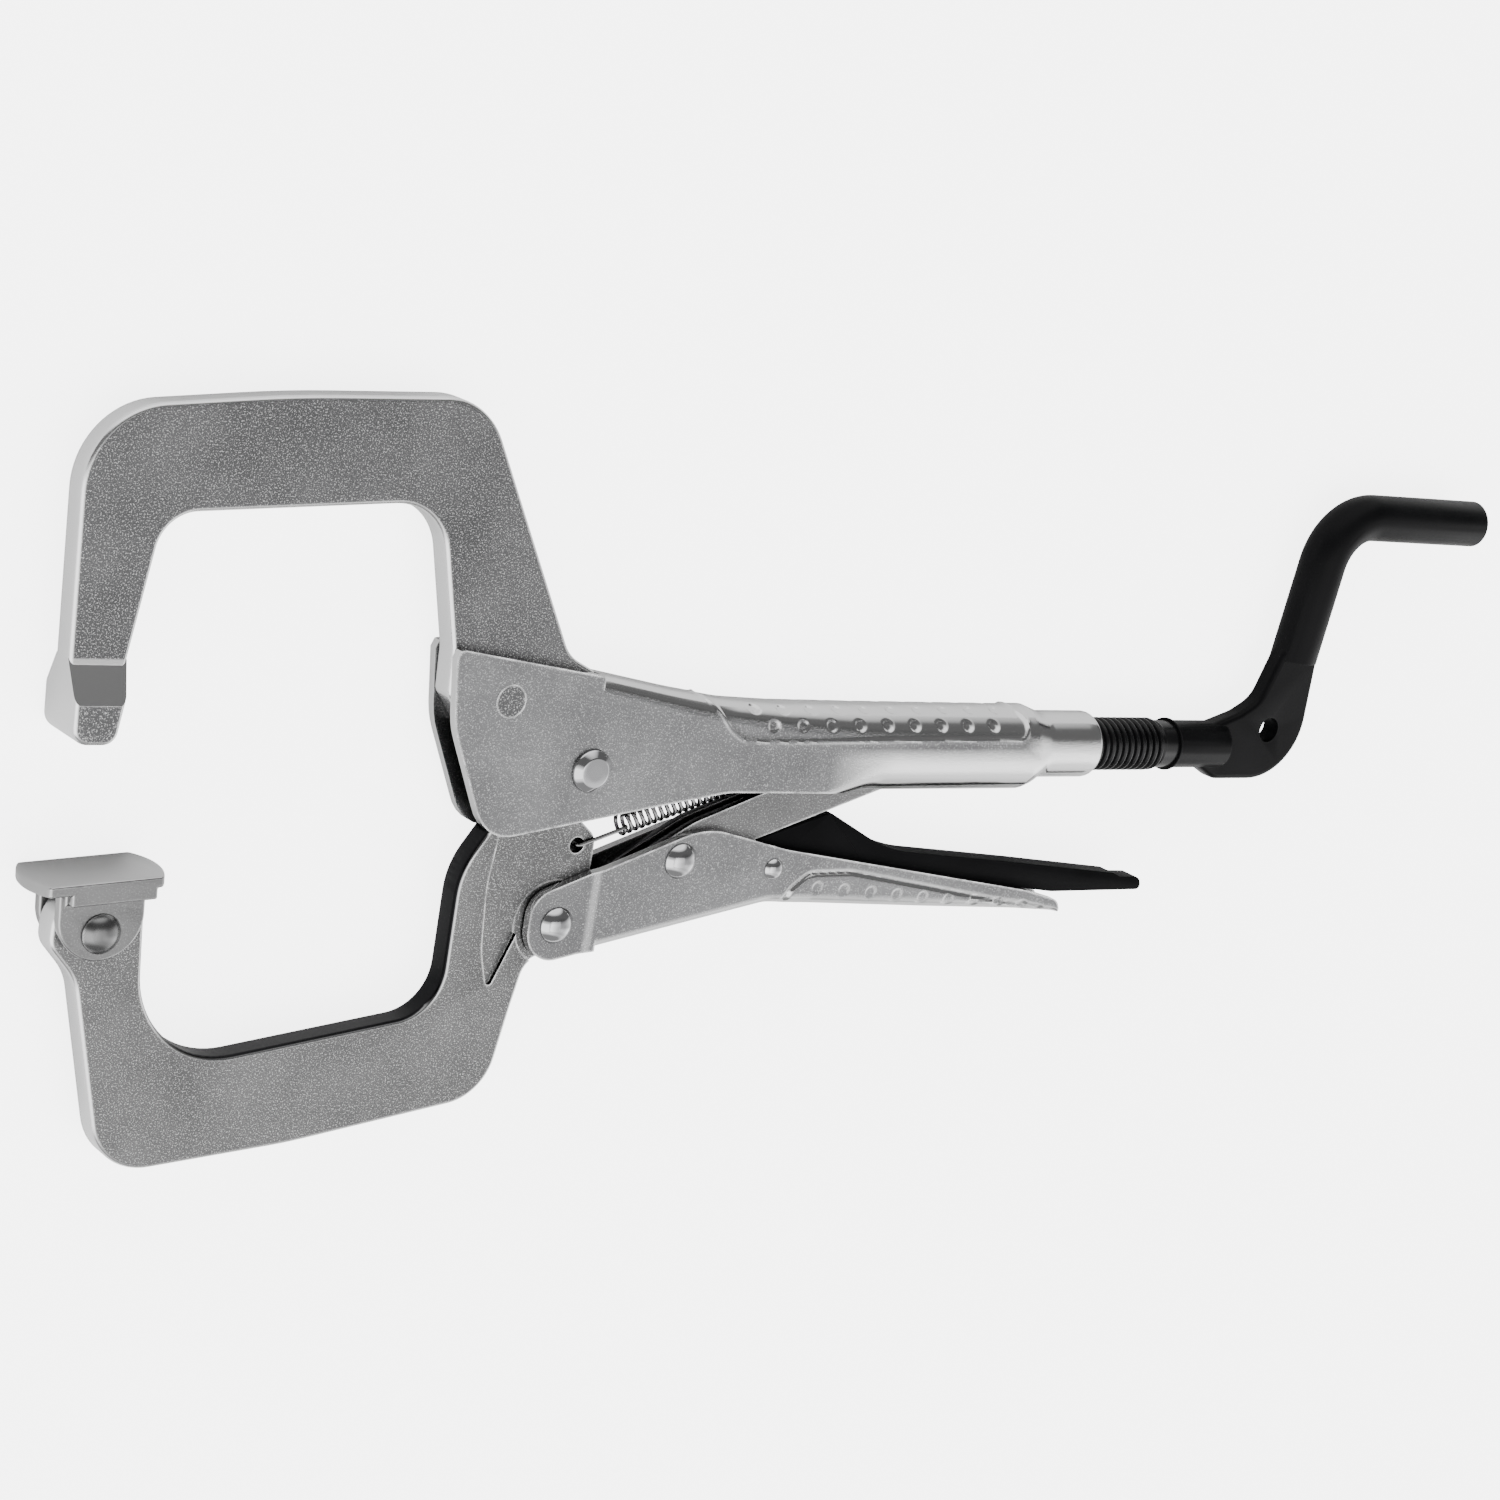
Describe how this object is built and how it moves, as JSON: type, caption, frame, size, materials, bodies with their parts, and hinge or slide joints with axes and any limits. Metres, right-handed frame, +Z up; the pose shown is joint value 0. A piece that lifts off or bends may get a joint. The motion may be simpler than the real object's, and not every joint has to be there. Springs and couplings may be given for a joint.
{
  "type": "locking pliers",
  "caption": "Locking C-clamp pliers: deep fixed and pivoting jaws, swivel pad, over-centre toggle handle with release lever, and a crank-handled adjusting screw.",
  "frame": {"origin": "middle of the tool's box, at its lowest point, as it lies flat on a bench", "axes": "+X along the adjusting screw towards the crank, +Y from the moving jaw to the fixed jaw, +Z up through the thickness"},
  "size_m": [0.3821, 0.1589, 0.0173],
  "materials": {
    "plated_forging": "fine-blasted forged steel, satin bright zinc plate",
    "plated_sheet": "stamped steel sheet, satin nickel plate with polished edges",
    "rivet_bright": "polished bright-plated rivet head",
    "black_oxide": "black oxide, semi-gloss",
    "pad_steel": "stamped pad, dull plated face with bright folds",
    "spring_wire": "bright plated spring wire",
    "button_steel": "plain hardened steel, hidden inside"
  },
  "bodies": {
    "upper_handle": {"upper_handle": "plated_sheet", "fixed_jaw": "plated_forging", "fixed_jaw_rivet": "plated_sheet", "main_pivot_rivet": "rivet_bright", "spring_anchor_pin": "button_steel", "tension_spring": "spring_wire"},
    "moving_jaw": {"moving_jaw": "plated_forging"},
    "swivel_pad": {"swivel_pad": "pad_steel", "pad_rivet": "rivet_bright"},
    "lower_handle": {"lower_handle": "plated_sheet", "handle_pivot_rivet": "rivet_bright", "toggle_rivet": "rivet_bright", "release_lever_rivet": "rivet_bright"},
    "toggle_link": {"toggle_link": "plated_sheet"},
    "release_lever": {"release_lever": "black_oxide"},
    "screw_tip": {"thrust_button": "button_steel"},
    "crank_screw": {"adjusting_screw": "black_oxide"}
  },
  "joints": [
    {"name": "jaw_pivot", "type": "hinge", "parent": "upper_handle", "child": "moving_jaw", "pos_m": [-0.06803, 0.00351, 0.00865], "axis": [0, 0, 1], "range_deg": [0, 15], "deforming": ["tension_spring"]},
    {"name": "handle_pivot", "type": "hinge", "parent": "moving_jaw", "child": "lower_handle", "pos_m": [-0.06953, -0.03089, 0.00865], "axis": [0, 0, 1], "range_deg": [-60, 0]},
    {"name": "toggle_pivot", "type": "hinge", "parent": "lower_handle", "child": "toggle_link", "pos_m": [-0.04063, -0.01699, 0.00865], "axis": [0, 0, 1], "range_deg": [0, 66.5]},
    {"name": "release_lever_pivot", "type": "hinge", "parent": "lower_handle", "child": "release_lever", "pos_m": [-0.01493, -0.01939, 0.00865], "axis": [0, 0, 1], "range_deg": [-1.4, 0]},
    {"name": "pad_swivel", "type": "hinge", "parent": "moving_jaw", "child": "swivel_pad", "pos_m": [-0.17543, -0.02869, 0.00865], "axis": [0, 0, 1], "range_deg": [-12, 12]},
    {"name": "screw_travel", "type": "slide", "parent": "upper_handle", "child": "screw_tip", "axis": [1, 0, 0], "range_m": [0, 0.01954]},
    {"name": "screw_turn", "type": "hinge", "parent": "screw_tip", "child": "crank_screw", "pos_m": [0.08197, 0.00801, 0.00865], "axis": [1, 0, 0], "range_deg": [0, 3600]}
  ],
  "couplings": [
    {"joint": "jaw_pivot", "follows": "handle_pivot", "ratio": -0.25},
    {"joint": "toggle_pivot", "follows": "handle_pivot", "ratio": -1.1083},
    {"joint": "screw_travel", "follows": "screw_turn", "m_per_rad": 0.00031099}
  ]
}
